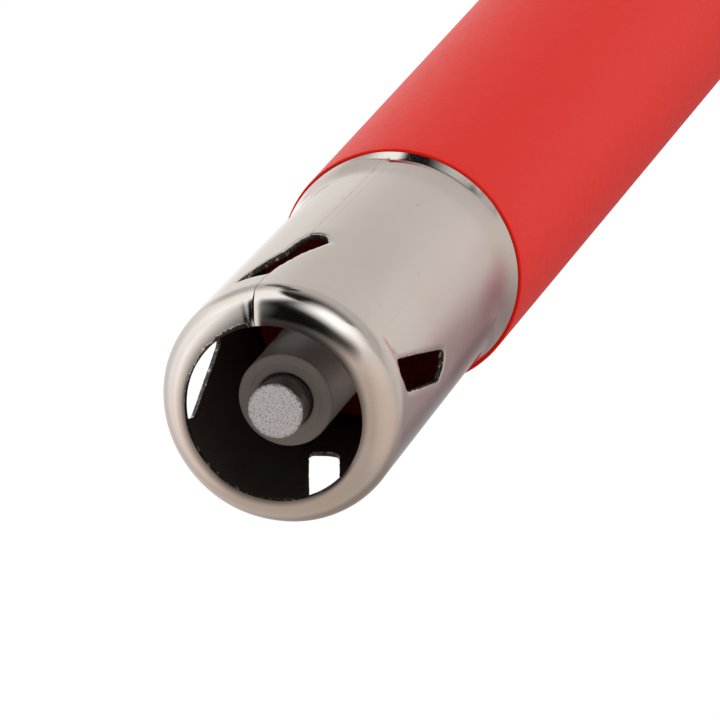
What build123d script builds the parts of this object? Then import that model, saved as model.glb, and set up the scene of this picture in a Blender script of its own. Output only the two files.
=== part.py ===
"""Push-type piezo spark lighter for a gas stove.

The long axis lies along X with the nose towards +X and +Z up. The origin is on
the axis, half way along the red barrel. Axial places are written as distances
behind the front edge of the nose, and ax() turns them into X.
"""

from build123d import *
import math
import os

os.makedirs("parts", exist_ok=True)

# ---------------------------------------------------------------- dimensions
NOSE_X = 95.5          # X of the front edge of the nose

# rolled steel nose
SHEET = 0.45           # sheet thickness
LIP_R = 3.05           # outer radius of the turned-in lip
NOSE_R_FRONT = 10.15   # outer radius behind the lip
NOSE_R_WAIST = 9.72    # outer radius just ahead of the collar
WAIST_T = 34.3
COLLAR_R = 10.17       # small collar that meets the barrel's shoulder
COLLAR_T = 35.7
NOSE_END_T = 37.5
MOUTH_R = 7.5          # radius of the open mouth
SEAM_DEG = -10.0       # where the sheet's two edges meet
SEAM_GAP = 0.2
SLOT_T0, SLOT_T1 = 5.2, 16.1
# middle of each slot at its front and at its back, degrees from the top
SLOTS = [(-22.0, -3.0), (75.0, 90.5), (166.0, 183.0), (256.0, 271.5)]
SLOT_HALF_FRONT, SLOT_HALF_BACK = 8.7, 7.3
SLOT_CORNER_R = 0.45

# barrel
BARREL_R = 10.5
BARREL_BORE_R = 8.2
SPIGOT_R = 9.15
SPIGOT_T = 24.7
FRONT_WALL_T = 27.7
BARREL_END_T = 153.5
COUNTERBORE_R = 8.95
COUNTERBORE_T = 145.5
BARREL_EDGE_R = 0.35

# insulator and electrode
ROD_R = 2.25
ROD_T0 = 0.5
ROD_HOLE_R = 2.33
INS_T0 = 3.35
INS_R = 3.95
CUP_R = 8.1
CUP_T0, CUP_T1 = 27.75, 72.0
CRYSTAL_BORE_R = 4.1
WEB_T = 36.0
SEAT_BORE_R = 5.95
SEAT_BORE_T = 64.0

# piezo stack
HEAD_R, HEAD_T1 = 3.6, 37.4
DISC_T1 = 38.0
PIEZO_R = 3.2
SHIM_T0, SHIM_T1 = 49.7, 50.3
PIEZO_END_T = 62.0
ANVIL_BOSS_R = 3.4
ANVIL_T1 = 71.0

# hammer guide and hammer
GUIDE_T0, GUIDE_T1 = 65.5, 126.0
GUIDE_R, GUIDE_BORE_R = 5.85, 4.7
FLANGE_T0, FLANGE_T1, FLANGE_R = 72.0, 74.0, 8.05
HAMMER_T0, HAMMER_T1, HAMMER_R = 78.05, 106.0, 4.55
STRIKE = 7.0
PIN_T, PIN_R, PIN_HALF = 100.0, 1.2, 7.3
PIN_ROOM = 1.35

# plunger
PRESS = 10.0
WASHER_T0, WASHER_T1 = 88.7, 89.5
SLEEVE_T1, SLEEVE_R, SLEEVE_BORE_R = 150.0, 6.75, 6.05
SEAT_T0, SEAT_R = 140.0, 6.0
NIPPLE_R = 2.5
BUTTON_T0, BUTTON_T1 = 141.0, 187.0
BUTTON_R, BUTTON_FLANGE_R = 7.6, 8.0
BUTTON_STOP_T = 145.4
CROSS_PIN_T, CROSS_PIN_R = 147.0, 1.0

# springs
RETURN_MEAN_R, RETURN_WIRE, RETURN_TURNS = 6.45, 0.8, 4.5
IMPACT_MEAN_R, IMPACT_WIRE, IMPACT_TURNS = 3.35, 1.1, 9

# rear collar and its hanging lug
END_R, END_BORE_R = 10.5, 7.8
END_T1 = 163.0
LUG_R0, LUG_ROUND = 16.3, 4.7
LUG_T = 158.3
LUG_THICK = 3.4
LUG_EDGE_R = 0.5
HANG_HOLE_R = 2.6
# the lug leans so far that its tip is level with the barrel's underside
_reach = LUG_R0 + LUG_ROUND - LUG_EDGE_R
_half = LUG_THICK / 2 - LUG_EDGE_R
LUG_DEG = 180.0 - math.degrees(math.atan2(_half, _reach) + math.acos((BARREL_R - LUG_EDGE_R - 0.02) / math.hypot(_reach, _half)))

# earth strip
STRIP_DEG, STRIP_W, STRIP_TH = 40.0, 4.0, 0.3


def ax(t):
    """X of a place t millimetres behind the nose's front edge."""
    return NOSE_X - t


def radial(deg, r=0.0, at=0.0):
    """A plane that faces outward at deg from the top, x along +X, y towards larger angles."""
    a = math.radians(deg)
    return Plane(
        origin=(at, r * math.sin(a), r * math.cos(a)),
        x_dir=(1, 0, 0),
        z_dir=(0, math.sin(a), math.cos(a)),
    )


def chord(r, deg):
    return r * math.sin(math.radians(deg))


# ---------------------------------------------------------------- nose tube
lip_c = (ax(LIP_R), NOSE_R_FRONT - LIP_R)
lip_a = math.asin((MOUTH_R - lip_c[1]) / LIP_R)
lip_m = (lip_a + math.pi / 2) / 2
in_r = LIP_R - SHEET


def lip_point(radius, angle):
    return (lip_c[0] + radius * math.cos(angle), lip_c[1] + radius * math.sin(angle))


with BuildPart() as nose_tube:
    with BuildSketch(Plane.XZ) as nose_profile:
        with BuildLine():
            ThreePointArc(lip_point(LIP_R, lip_a), lip_point(LIP_R, lip_m), lip_point(LIP_R, math.pi / 2))
            Polyline(
                lip_point(LIP_R, math.pi / 2),
                (ax(WAIST_T), NOSE_R_WAIST),
                (ax(COLLAR_T), COLLAR_R),
                (ax(NOSE_END_T), COLLAR_R),
                (ax(NOSE_END_T), COLLAR_R - SHEET),
                (ax(COLLAR_T), COLLAR_R - SHEET),
                (ax(WAIST_T), NOSE_R_WAIST - SHEET),
                lip_point(in_r, math.pi / 2),
            )
            ThreePointArc(lip_point(in_r, math.pi / 2), lip_point(in_r, lip_m), lip_point(in_r, lip_a))
            Line(lip_point(in_r, lip_a), lip_point(LIP_R, lip_a))
        make_face()
    revolve(axis=Axis.X)
    for front_deg, back_deg in SLOTS:
        mid = (front_deg + back_deg) / 2
        with BuildSketch(radial(mid, 7.0)) as slot_shape:
            with BuildLine():
                Polyline(
                    (ax(SLOT_T0), chord(10, front_deg - SLOT_HALF_FRONT - mid)),
                    (ax(SLOT_T0), chord(10, front_deg + SLOT_HALF_FRONT - mid)),
                    (ax(SLOT_T1), chord(10, back_deg + SLOT_HALF_BACK - mid)),
                    (ax(SLOT_T1), chord(10, back_deg - SLOT_HALF_BACK - mid)),
                    close=True,
                )
            make_face()
            fillet(slot_shape.vertices(), SLOT_CORNER_R)
        extrude(amount=5, mode=Mode.SUBTRACT)
    with BuildSketch(radial(SEAM_DEG, 6.0)):
        with Locations((ax(20), 0)):
            Rectangle(44, SEAM_GAP)
    extrude(amount=6, mode=Mode.SUBTRACT)
nose_tube.part.label = "nose_tube"

# ---------------------------------------------------------------- barrel
with BuildPart() as body_tube:
    with BuildSketch(Plane.XZ) as barrel_profile:
        with BuildLine():
            Polyline(
                (ax(SPIGOT_T), 4.1),
                (ax(SPIGOT_T), SPIGOT_R - 0.5),
                (ax(SPIGOT_T + 0.8), SPIGOT_R),
                (ax(NOSE_END_T), SPIGOT_R),
                (ax(NOSE_END_T), BARREL_R),
                (ax(BARREL_END_T), BARREL_R),
                (ax(BARREL_END_T), COUNTERBORE_R),
                (ax(150.4), COUNTERBORE_R),
                (ax(150.1), COUNTERBORE_R + 0.35),
                (ax(148.9), COUNTERBORE_R + 0.35),
                (ax(148.6), COUNTERBORE_R),
                (ax(COUNTERBORE_T), COUNTERBORE_R),
                (ax(COUNTERBORE_T), BARREL_BORE_R),
                (ax(FRONT_WALL_T), BARREL_BORE_R),
                (ax(FRONT_WALL_T), 4.1),
                close=True,
            )
        make_face()
    revolve(axis=Axis.X)
    outer_edges = body_tube.edges().filter_by(GeomType.CIRCLE).filter_by(lambda e: abs(e.radius - BARREL_R) < 1e-4)
    fillet(outer_edges, BARREL_EDGE_R)
    with BuildSketch(Plane.YZ.offset(ax(FRONT_WALL_T + 0.2))):
        with Locations(Location((0, 0), -STRIP_DEG)):
            with Locations((0, 7.6)):
                Rectangle(STRIP_W + 0.5, 0.8)
    extrude(amount=4, mode=Mode.SUBTRACT)
body_tube.part.label = "body_tube"

# ---------------------------------------------------------------- insulator with its crystal cup
with BuildPart() as insulator:
    with BuildSketch(Plane.XZ):
        with BuildLine():
            Polyline(
                (ax(INS_T0), ROD_HOLE_R),
                (ax(INS_T0), INS_R - 0.75),
                (ax(INS_T0 + 0.35), INS_R - 0.3),
                (ax(INS_T0 + 1.3), INS_R),
                (ax(CUP_T0), INS_R),
                (ax(CUP_T0), CUP_R - 0.3),
                (ax(CUP_T0 + 0.3), CUP_R),
                (ax(CUP_T1), CUP_R),
                (ax(CUP_T1), SEAT_BORE_R),
                (ax(SEAT_BORE_T), SEAT_BORE_R),
                (ax(SEAT_BORE_T), CRYSTAL_BORE_R),
                (ax(WEB_T), CRYSTAL_BORE_R),
                (ax(WEB_T), ROD_HOLE_R),
                close=True,
            )
        make_face()
    revolve(axis=Axis.X)
    # groove along the cup and a shallow recess in its back face for the earth strip
    with BuildSketch(radial(STRIP_DEG, 7.3)):
        with Locations((ax((CUP_T0 + CUP_T1) / 2), 0)):
            Rectangle(CUP_T1 - CUP_T0 + 2, STRIP_W + 0.4)
    extrude(amount=3, mode=Mode.SUBTRACT)
    with BuildSketch(radial(STRIP_DEG, 6.1)):
        with Locations((ax(CUP_T1), 0)):
            Rectangle(0.8, STRIP_W + 0.4)
    extrude(amount=3, mode=Mode.SUBTRACT)
insulator.part.label = "insulator"

# ---------------------------------------------------------------- electrode
with BuildPart() as electrode_rod:
    with BuildSketch(Plane.XZ):
        with BuildLine():
            Polyline(
                (ax(ROD_T0), 0),
                (ax(ROD_T0), ROD_R - 0.25),
                (ax(ROD_T0 + 0.25), ROD_R),
                (ax(WEB_T), ROD_R),
                (ax(WEB_T), HEAD_R),
                (ax(HEAD_T1), HEAD_R),
                (ax(HEAD_T1), 0),
                close=True,
            )
        make_face()
    revolve(axis=Axis.X)
electrode_rod.part.label = "electrode_rod"

with BuildPart() as contact_disc:
    with BuildSketch(Plane.YZ.offset(ax(DISC_T1))):
        Circle(PIEZO_R)
    extrude(amount=DISC_T1 - HEAD_T1)
contact_disc.part.label = "contact_disc"

with BuildPart() as piezo_front:
    with BuildSketch(Plane.YZ.offset(ax(SHIM_T0))):
        Circle(PIEZO_R)
    extrude(amount=SHIM_T0 - DISC_T1)
    chamfer(piezo_front.edges().filter_by(GeomType.CIRCLE), 0.15)
piezo_front.part.label = "piezo_front"

with BuildPart() as centre_shim:
    with BuildSketch(Plane.YZ.offset(ax(SHIM_T1))):
        Circle(PIEZO_R)
    extrude(amount=SHIM_T1 - SHIM_T0)
centre_shim.part.label = "centre_shim"

with BuildPart() as piezo_rear:
    with BuildSketch(Plane.YZ.offset(ax(PIEZO_END_T))):
        Circle(PIEZO_R)
    extrude(amount=PIEZO_END_T - SHIM_T1)
    chamfer(piezo_rear.edges().filter_by(GeomType.CIRCLE), 0.15)
piezo_rear.part.label = "piezo_rear"

with BuildPart() as crystal_sleeve:
    with BuildSketch(Plane.YZ.offset(ax(61.9))):
        Circle(CRYSTAL_BORE_R - 0.05)
        Circle(PIEZO_R + 0.05, mode=Mode.SUBTRACT)
    extrude(amount=61.9 - 37.5)
crystal_sleeve.part.label = "crystal_sleeve"

# ---------------------------------------------------------------- anvil
with BuildPart() as anvil:
    with BuildSketch(Plane.XZ):
        with BuildLine():
            Polyline(
                (ax(PIEZO_END_T), 0),
                (ax(PIEZO_END_T), CRYSTAL_BORE_R - 0.1),
                (ax(SEAT_BORE_T), CRYSTAL_BORE_R - 0.1),
                (ax(SEAT_BORE_T), SEAT_BORE_R - 0.15),
                (ax(GUIDE_T0), SEAT_BORE_R - 0.15),
                (ax(GUIDE_T0), ANVIL_BOSS_R),
                (ax(ANVIL_T1 - 0.3), ANVIL_BOSS_R),
                (ax(ANVIL_T1), ANVIL_BOSS_R - 0.3),
                (ax(ANVIL_T1), 0),
                close=True,
            )
        make_face()
    revolve(axis=Axis.X)
anvil.part.label = "anvil"

# ---------------------------------------------------------------- hammer guide, with an L slot on each side
with BuildPart() as guide_tube:
    with BuildSketch(Plane.XZ):
        with BuildLine():
            Polyline(
                (ax(GUIDE_T0), GUIDE_BORE_R),
                (ax(GUIDE_T0), GUIDE_R),
                (ax(FLANGE_T0), GUIDE_R),
                (ax(FLANGE_T0), FLANGE_R),
                (ax(FLANGE_T1), FLANGE_R),
                (ax(FLANGE_T1), GUIDE_R),
                (ax(GUIDE_T1 - 0.4), GUIDE_R),
                (ax(GUIDE_T1), GUIDE_R - 0.4),
                (ax(GUIDE_T1), GUIDE_BORE_R),
                close=True,
            )
        make_face()
    revolve(axis=Axis.X)
    for side in (90, 270):
        with BuildSketch(radial(side, 3.0)):
            with BuildLine():
                Polyline(
                    (ax(PIN_T - STRIKE - PIN_ROOM), PIN_ROOM),
                    (ax(PIN_T + PIN_ROOM), PIN_ROOM),
                    (ax(PIN_T + PIN_ROOM), -4.0),
                    (ax(PIN_T - PIN_ROOM), -4.0),
                    (ax(PIN_T - PIN_ROOM), -PIN_ROOM),
                    (ax(PIN_T - STRIKE - PIN_ROOM), -PIN_ROOM),
                    close=True,
                )
            make_face()
        extrude(amount=4, mode=Mode.SUBTRACT)
guide_tube.part.label = "guide_tube"

# ---------------------------------------------------------------- earth strip, from the guide's flange to the nose
with BuildPart() as ground_strip:
    with BuildSketch(radial(STRIP_DEG, 7.45)):
        with Locations(((ax(24.1) + ax(71.95)) / 2, 0)):
            Rectangle(71.95 - 24.1, STRIP_W)
    extrude(amount=STRIP_TH)
    with BuildSketch(radial(STRIP_DEG, 6.3)):
        with Locations((ax(71.95) + STRIP_TH / 2, 0)):
            Rectangle(STRIP_TH, STRIP_W)
    extrude(amount=1.3)
    with BuildSketch(radial(STRIP_DEG, 7.6)):
        with Locations((ax(24.1) + STRIP_TH / 2, 0)):
            Rectangle(STRIP_TH, STRIP_W - 1.0)
    extrude(amount=1.65)
ground_strip.part.label = "ground_strip"

# ---------------------------------------------------------------- hammer and its cross pin
with BuildPart() as hammer:
    with BuildSketch(Plane.XZ):
        with BuildLine():
            Polyline(
                (ax(HAMMER_T0), 0),
                (ax(HAMMER_T0), HAMMER_R - 0.8),
                (ax(HAMMER_T0 + 0.8), HAMMER_R),
                (ax(HAMMER_T1 - 0.4), HAMMER_R),
                (ax(HAMMER_T1), HAMMER_R - 0.4),
                (ax(HAMMER_T1), NIPPLE_R),
                (ax(HAMMER_T1 + 3.6), NIPPLE_R),
                (ax(HAMMER_T1 + 4), NIPPLE_R - 0.4),
                (ax(HAMMER_T1 + 4), 0),
                close=True,
            )
        make_face()
    revolve(axis=Axis.X)
    with BuildSketch(Plane.XZ):
        with Locations((ax(PIN_T), 0)):
            Circle(PIN_R + 0.01)
    extrude(amount=8, both=True, mode=Mode.SUBTRACT)
hammer.part.label = "hammer"

with BuildPart() as hammer_pin:
    with BuildSketch(Plane.XZ):
        with Locations((ax(PIN_T), 0)):
            Circle(PIN_R)
    extrude(amount=PIN_HALF, both=True)
    chamfer(hammer_pin.edges().filter_by(GeomType.CIRCLE), 0.2)
hammer_pin.part.label = "hammer_pin"

# ---------------------------------------------------------------- springs
with BuildPart() as impact_spring:
    wire = IMPACT_WIRE / 2
    span = SEAT_T0 - HAMMER_T1 - IMPACT_WIRE - 0.1
    with BuildLine() as impact_path:
        Helix(pitch=span / IMPACT_TURNS, height=span, radius=IMPACT_MEAN_R, center=(ax(SEAT_T0) + wire + 0.05, 0, 0), direction=(1, 0, 0))
    with BuildSketch(Plane(impact_path.line @ 0, z_dir=impact_path.line % 0)):
        Circle(wire)
    sweep(path=impact_path.line, is_frenet=True)
impact_spring.part.label = "impact_spring"

with BuildPart() as return_spring:
    wire = RETURN_WIRE / 2
    span = WASHER_T0 - FLANGE_T1 - RETURN_WIRE - 0.1
    with BuildLine() as return_path:
        Helix(pitch=span / RETURN_TURNS, height=span, radius=RETURN_MEAN_R, center=(ax(WASHER_T0) + wire + 0.05, 0, 0), direction=(1, 0, 0))
    with BuildSketch(Plane(return_path.line @ 0, z_dir=return_path.line % 0)):
        Circle(wire)
    sweep(path=return_path.line, is_frenet=True)
return_spring.part.label = "return_spring"

# ---------------------------------------------------------------- plunger
with BuildPart() as thrust_washer:
    with BuildSketch(Plane.YZ.offset(ax(WASHER_T1))):
        Circle(7.6)
        Circle(SLEEVE_BORE_R, mode=Mode.SUBTRACT)
    extrude(amount=WASHER_T1 - WASHER_T0)
thrust_washer.part.label = "thrust_washer"

with BuildPart() as push_sleeve:
    with BuildSketch(Plane.YZ.offset(ax(SLEEVE_T1))):
        Circle(SLEEVE_R)
        Circle(SLEEVE_BORE_R, mode=Mode.SUBTRACT)
    extrude(amount=SLEEVE_T1 - WASHER_T1)
    # cam windows: the sloped sides turn the hammer pin out of its notch
    for side in (90, 270):
        with BuildSketch(radial(side, 4.0)) as cam_window:
            with BuildLine():
                Polyline(
                    (ax(PIN_T - STRIKE - PIN_ROOM), PIN_ROOM),
                    (ax(PIN_T + PRESS + PIN_ROOM), PIN_ROOM),
                    (ax(PIN_T + PRESS + PIN_ROOM), -PIN_ROOM),
                    (ax(PIN_T + PRESS - 2.2), -4.4),
                    (ax(PIN_T - PIN_ROOM), -4.4),
                    (ax(PIN_T - 4.4), -PIN_ROOM),
                    (ax(PIN_T - STRIKE - PIN_ROOM), -PIN_ROOM),
                    close=True,
                )
            make_face()
        extrude(amount=5, mode=Mode.SUBTRACT)
    with BuildSketch(Plane.XY):
        with Locations((ax(CROSS_PIN_T), 0)):
            Circle(CROSS_PIN_R + 0.01)
    extrude(amount=10, both=True, mode=Mode.SUBTRACT)
push_sleeve.part.label = "push_sleeve"

with BuildPart() as spring_seat:
    with BuildSketch(Plane.XZ):
        with BuildLine():
            Polyline(
                (ax(SEAT_T0 - 4), 0),
                (ax(SEAT_T0 - 4), NIPPLE_R - 0.4),
                (ax(SEAT_T0 - 3.6), NIPPLE_R),
                (ax(SEAT_T0), NIPPLE_R),
                (ax(SEAT_T0), SEAT_R - 0.3),
                (ax(SEAT_T0 + 0.3), SEAT_R),
                (ax(SLEEVE_T1), SEAT_R),
                (ax(SLEEVE_T1), 0),
                close=True,
            )
        make_face()
    revolve(axis=Axis.X)
    with BuildSketch(Plane.XY):
        with Locations((ax(CROSS_PIN_T), 0)):
            Circle(CROSS_PIN_R + 0.01)
    extrude(amount=10, both=True, mode=Mode.SUBTRACT)
spring_seat.part.label = "spring_seat"

with BuildPart() as push_button:
    with BuildSketch(Plane.XZ) as button_profile:
        with BuildLine():
            Polyline(
                (ax(BUTTON_T0), SLEEVE_R + 0.05),
                (ax(BUTTON_T0), BUTTON_FLANGE_R - 0.3),
                (ax(BUTTON_T0 + 0.3), BUTTON_FLANGE_R),
                (ax(BUTTON_STOP_T), BUTTON_FLANGE_R),
                (ax(BUTTON_STOP_T), BUTTON_R),
                (ax(174.0), BUTTON_R),
                (ax(174.3), BUTTON_R - 0.35),
                (ax(175.0), BUTTON_R - 0.35),
                (ax(175.3), BUTTON_R),
                (ax(176.7), BUTTON_R),
                (ax(177.0), BUTTON_R - 0.35),
                (ax(177.7), BUTTON_R - 0.35),
                (ax(178.0), BUTTON_R),
                (ax(179.4), BUTTON_R),
                (ax(179.7), BUTTON_R - 0.35),
                (ax(180.4), BUTTON_R - 0.35),
                (ax(180.7), BUTTON_R),
                (ax(184.8), BUTTON_R),
            )
            ThreePointArc((ax(184.8), BUTTON_R), (ax(186.35), BUTTON_R - 0.65), (ax(BUTTON_T1), BUTTON_R - 2.2))
            Polyline(
                (ax(BUTTON_T1), BUTTON_R - 2.2),
                (ax(BUTTON_T1 - 0.5), BUTTON_R - 2.8),
                (ax(BUTTON_T1 - 0.5), 0),
                (ax(182.6), 0),
                (ax(182.6), 4.4),
                (ax(181.8), 5.2),
                (ax(SLEEVE_T1), 5.2),
                (ax(SLEEVE_T1), SLEEVE_R + 0.05),
                (ax(BUTTON_T0), SLEEVE_R + 0.05),
            )
        make_face()
    revolve(axis=Axis.X)
    with BuildSketch(Plane.XY):
        with Locations((ax(CROSS_PIN_T), 0)):
            Circle(CROSS_PIN_R + 0.01)
    extrude(amount=10, both=True, mode=Mode.SUBTRACT)
push_button.part.label = "push_button"

with BuildPart() as button_pin:
    with BuildSketch(Plane.XY):
        with Locations((ax(CROSS_PIN_T), 0)):
            Circle(CROSS_PIN_R)
    extrude(amount=BUTTON_R - 0.15, both=True)
    chamfer(button_pin.edges().filter_by(GeomType.CIRCLE), 0.15)
button_pin.part.label = "button_pin"

# ---------------------------------------------------------------- rear collar with its hanging lug
with BuildPart() as end_collar:
    lug_a = math.radians(LUG_DEG)
    with BuildSketch(Plane(origin=(0, 0, 0), x_dir=(1, 0, 0), z_dir=(0, -math.cos(lug_a), math.sin(lug_a)))) as lug_shape:
        with Locations((ax(LUG_T), LUG_R0)):
            Circle(LUG_ROUND)
        with Locations((ax(LUG_T), (LUG_R0 + 9.0) / 2)):
            Rectangle(2 * LUG_ROUND - 1.6, LUG_R0 - 9.0)
        with Locations((ax(LUG_T), LUG_R0)):
            Circle(HANG_HOLE_R, mode=Mode.SUBTRACT)
    extrude(amount=LUG_THICK / 2, both=True)
    fillet(end_collar.edges().filter_by(GeomType.CIRCLE).filter_by(lambda e: e.radius > HANG_HOLE_R + 0.5), LUG_EDGE_R)
    with BuildSketch(Plane.XZ):
        with BuildLine():
            Polyline(
                (ax(COUNTERBORE_T + 0.1), END_BORE_R),
                (ax(COUNTERBORE_T + 0.1), COUNTERBORE_R - 0.35),
                (ax(COUNTERBORE_T + 0.4), COUNTERBORE_R - 0.05),
                (ax(148.9), COUNTERBORE_R - 0.05),
                (ax(149.2), COUNTERBORE_R + 0.2),
                (ax(149.8), COUNTERBORE_R + 0.2),
                (ax(150.1), COUNTERBORE_R - 0.05),
                (ax(BARREL_END_T), COUNTERBORE_R - 0.05),
                (ax(BARREL_END_T), END_R - 0.4),
                (ax(BARREL_END_T + 0.4), END_R),
                (ax(END_T1 - 1.2), END_R),
                (ax(END_T1 - 0.35), END_R - 0.35),
                (ax(END_T1), END_R - 1.2),
                (ax(END_T1), END_BORE_R + 0.3),
                (ax(END_T1 - 0.3), END_BORE_R),
                close=True,
            )
        make_face()
    revolve(axis=Axis.X)
end_collar.part.label = "end_collar"

# ---------------------------------------------------------------- one STEP per piece
for piece in (
    nose_tube, body_tube, insulator, electrode_rod, contact_disc, piezo_front, centre_shim, piezo_rear,
    crystal_sleeve, anvil, guide_tube, ground_strip, hammer, hammer_pin, impact_spring, return_spring,
    thrust_washer, push_sleeve, spring_seat, push_button, button_pin, end_collar,
):
    export_step(piece.part, f"parts/{piece.part.label}.step")
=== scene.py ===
import math

import bpy
import numpy as np
from mathutils import Matrix, Vector
from mathutils.geometry import delaunay_2d_cdt


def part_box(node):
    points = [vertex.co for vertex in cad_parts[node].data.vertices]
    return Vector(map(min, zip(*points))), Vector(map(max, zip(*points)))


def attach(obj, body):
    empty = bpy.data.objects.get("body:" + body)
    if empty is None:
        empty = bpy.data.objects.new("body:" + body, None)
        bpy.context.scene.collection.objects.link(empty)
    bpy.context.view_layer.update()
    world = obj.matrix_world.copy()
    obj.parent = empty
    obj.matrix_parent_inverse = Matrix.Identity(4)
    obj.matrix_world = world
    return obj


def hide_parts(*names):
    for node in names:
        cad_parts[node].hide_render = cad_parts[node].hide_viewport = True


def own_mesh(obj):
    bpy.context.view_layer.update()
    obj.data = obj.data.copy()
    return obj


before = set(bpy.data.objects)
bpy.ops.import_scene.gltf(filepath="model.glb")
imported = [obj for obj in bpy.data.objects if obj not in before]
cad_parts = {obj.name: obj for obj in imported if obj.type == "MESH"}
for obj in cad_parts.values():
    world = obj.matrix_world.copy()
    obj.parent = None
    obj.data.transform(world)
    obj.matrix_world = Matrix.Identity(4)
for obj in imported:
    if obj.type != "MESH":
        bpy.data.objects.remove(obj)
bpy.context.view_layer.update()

RNG = np.random.default_rng(7)
MM = 0.001

# the nose's front edge, in mm along X; distances t run back from it
NOSE_X = 1000.0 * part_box("body_tube")[1][0] + 24.7
FLOOR_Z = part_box("body_tube")[0][2]
BARREL_R = 1000.0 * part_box("body_tube")[1][1]


# ------------------------------------------------------------------ camera
def make_camera():
    right = Vector((-0.2790, 0.9603, 0.0)).normalized()
    back = Vector((0.9047, 0.2628, 0.3354)).normalized()
    right = (right - back * right.dot(back)).normalized()
    up = back.cross(right).normalized()
    cam = bpy.data.cameras.new("view")
    cam.sensor_width = 36.0
    cam.lens = 506.15
    cam.clip_start, cam.clip_end = 0.05, 20.0
    obj = bpy.data.objects.new("view", cam)
    m = Matrix.Identity(4)
    for i in range(3):
        m[i][0], m[i][1], m[i][2] = right[i], up[i], back[i]
    tip = Vector(((NOSE_X - 3.15) * MM, 0, 0))
    centre = tip - (right * -6.14 - up * 3.34 - back * 820.3) * MM
    m.translation = centre
    obj.matrix_world = m
    bpy.context.scene.collection.objects.link(obj)
    bpy.context.scene.camera = obj


make_camera()


# ------------------------------------------------------------------ shader helpers
class Mat:
    """A principled material with short calls for wiring procedural nodes."""

    def __init__(self, name):
        self.mat = bpy.data.materials.new(name)
        self.mat.use_nodes = True
        self.nt = self.mat.node_tree
        self.nt.nodes.clear()
        self.out = self.nt.nodes.new("ShaderNodeOutputMaterial")
        self.bsdf = self.nt.nodes.new("ShaderNodeBsdfPrincipled")
        self.link(self.bsdf.outputs[0], self.out.inputs["Surface"])
        self.coords = None

    def link(self, a, b):
        self.nt.links.new(a, b)

    def put(self, socket, value):
        if isinstance(value, bpy.types.NodeSocket):
            self.link(value, socket)
        else:
            socket.default_value = value

    def set(self, **kw):
        names = {
            "color": "Base Color", "metal": "Metallic", "rough": "Roughness", "ior": "IOR", "normal": "Normal",
            "spec": "Specular IOR Level", "coat": "Coat Weight", "coat_rough": "Coat Roughness",
            "sss": "Subsurface Weight", "sss_radius": "Subsurface Radius", "sss_scale": "Subsurface Scale",
            "aniso": "Anisotropic", "emit": "Emission Color", "emit_k": "Emission Strength",
        }
        for k, value in kw.items():
            if k in ("color", "emit") and not isinstance(value, bpy.types.NodeSocket):
                value = (*value[:3], 1.0)
            self.put(self.bsdf.inputs[names[k]], value)
        return self

    def where(self, scale=(1, 1, 1), offset=(0, 0, 0), turn=(0, 0, 0)):
        """Object coordinates in millimetres, then scaled."""
        if self.coords is None:
            self.coords = self.nt.nodes.new("ShaderNodeTexCoord")
        m = self.nt.nodes.new("ShaderNodeMapping")
        m.inputs["Scale"].default_value = [1000.0 * s for s in scale]
        m.inputs["Location"].default_value = offset
        m.inputs["Rotation"].default_value = turn
        self.link(self.coords.outputs["Object"], m.inputs["Vector"])
        return m.outputs[0]

    def noise(self, scale=(1, 1, 1), detail=3.0, rough=0.55, offset=(0, 0, 0), distort=0.0):
        n = self.nt.nodes.new("ShaderNodeTexNoise")
        self.link(self.where(scale, offset), n.inputs["Vector"])
        n.inputs["Scale"].default_value = 1.0
        n.inputs["Detail"].default_value = detail
        n.inputs["Roughness"].default_value = rough
        n.inputs["Distortion"].default_value = distort
        return n.outputs["Fac"]

    def cells(self, scale=(1, 1, 1), offset=(0, 0, 0), random=1.0):
        n = self.nt.nodes.new("ShaderNodeTexVoronoi")
        self.link(self.where(scale, offset), n.inputs["Vector"])
        n.inputs["Scale"].default_value = 1.0
        n.inputs["Randomness"].default_value = random
        return n.outputs["Distance"]

    def ramp(self, x, a, b, lo=0.0, hi=1.0, smooth=True):
        """x from a to b becomes lo to hi, clamped."""
        m = self.nt.nodes.new("ShaderNodeMapRange")
        m.interpolation_type = "SMOOTHSTEP" if smooth else "LINEAR"
        self.put(m.inputs["Value"], x)
        m.inputs["From Min"].default_value = a
        m.inputs["From Max"].default_value = b
        m.inputs["To Min"].default_value = lo
        m.inputs["To Max"].default_value = hi
        return m.outputs[0]

    def math(self, op, a, b=0.0, c=0.0):
        m = self.nt.nodes.new("ShaderNodeMath")
        m.operation = op
        for s, value in zip(m.inputs, (a, b, c)):
            self.put(s, value)
        return m.outputs[0]

    def mix(self, f, a, b):
        m = self.nt.nodes.new("ShaderNodeMix")
        m.data_type = "RGBA"
        self.put(m.inputs[0], f)
        for s, value in ((m.inputs[6], a), (m.inputs[7], b)):
            if not isinstance(value, bpy.types.NodeSocket):
                value = (*value[:3], 1.0)
            self.put(s, value)
        return m.outputs[2]

    def attr(self, name):
        n = self.nt.nodes.new("ShaderNodeAttribute")
        n.attribute_name = name
        return n.outputs["Fac"]

    def split(self, vector):
        n = self.nt.nodes.new("ShaderNodeSeparateXYZ")
        self.link(vector, n.inputs[0])
        return n.outputs

    def bump(self, height, distance, strength=1.0, under=None):
        """height is 0 to 1, distance in millimetres."""
        n = self.nt.nodes.new("ShaderNodeBump")
        n.inputs["Strength"].default_value = strength
        n.inputs["Distance"].default_value = distance * MM
        self.link(height, n.inputs["Height"])
        if under is not None:
            self.link(under, n.inputs["Normal"])
        return n.outputs[0]


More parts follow.
